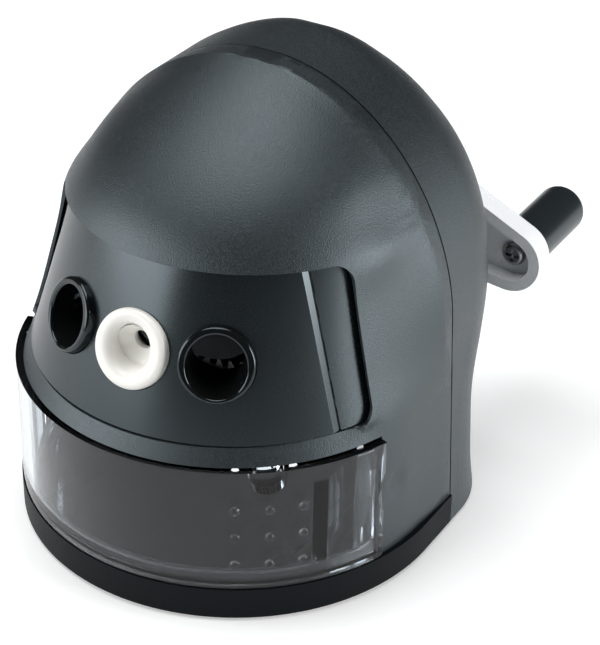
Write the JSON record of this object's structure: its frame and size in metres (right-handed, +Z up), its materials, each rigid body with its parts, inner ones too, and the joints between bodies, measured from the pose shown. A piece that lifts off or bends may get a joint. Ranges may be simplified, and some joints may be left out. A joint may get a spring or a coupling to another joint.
{
  "type": "hand-crank pencil sharpener",
  "caption": "Dome-shaped desk pencil sharpener with a turning guide selector, clear slide-out shavings drawer, rear crank with a free-spinning grip and a planetary helical cutter.",
  "frame": {"origin": "middle of the whole part's outline at the table top, under the feet", "axes": "+X to the right seen from the front, +Y to the back where the crank is, +Z up"},
  "size_m": [0.0892, 0.1196, 0.0949],
  "materials": {
    "black_grain": "fine spark-eroded grain",
    "black_satin": "satin",
    "black_gloss": "gloss",
    "white_plastic": "semi-gloss",
    "clear_plastic": "clear",
    "frame_black": "satin",
    "gear_plastic": "moulded",
    "bush_brass": "turned",
    "shaft_steel": "ground",
    "cutter_steel": "hardened",
    "screw_steel": "dark plated",
    "carrier_zinc": "die cast",
    "rubber": "matt"
  },
  "bodies": {
    "housing": {"front_shell": "black_grain", "rear_shell": "black_grain", "base_plate": "black_grain", "rubber_feet": "rubber", "base_screws": "screw_steel", "case_screws": "screw_steel", "mechanism_frame": "frame_black", "frame_screws": "screw_steel", "ring_gear": "gear_plastic", "rear_bush": "bush_brass"},
    "selector": {"selector_panel": "black_satin", "pencil_bush": "white_plastic", "left_guide": "black_gloss", "right_guide": "black_gloss"},
    "drawer": {"shavings_drawer": "clear_plastic"},
    "crank": {"crank_shaft": "shaft_steel", "crank_arm": "white_plastic", "crank_screw": "screw_steel", "grip_axle": "screw_steel", "cutter_carrier": "carrier_zinc", "cutter_axle": "shaft_steel"},
    "grip": {"grip": "black_gloss"},
    "cutter": {"helical_cutter": "cutter_steel", "cutter_pinion": "cutter_steel"}
  },
  "joints": [
    {"name": "crank_turn", "type": "hinge", "parent": "housing", "child": "crank", "pos_m": [0, 0, 0.0531], "axis": [0, 1, 0], "continuous": true},
    {"name": "cutter_spin", "type": "hinge", "parent": "crank", "child": "cutter", "pos_m": [0, 0.0368, 0.0531], "axis": [0, 0.9806, -0.1959], "continuous": true},
    {"name": "grip_spin", "type": "hinge", "parent": "crank", "child": "grip", "pos_m": [0.037, 0.0448, 0.04284], "axis": [0, 1, 0], "continuous": true},
    {"name": "selector_turn", "type": "hinge", "parent": "housing", "child": "selector", "pos_m": [0, -0.0152, 0.0531], "axis": [0, 0, 1], "range_deg": [-26.5, 26.5]},
    {"name": "drawer_slide", "type": "slide", "parent": "housing", "child": "drawer", "axis": [0, -1, 0], "range_m": [0, 0.046]}
  ],
  "couplings": [
    {"joint": "cutter_spin", "follows": "crank_turn", "ratio": -3.3333}
  ]
}
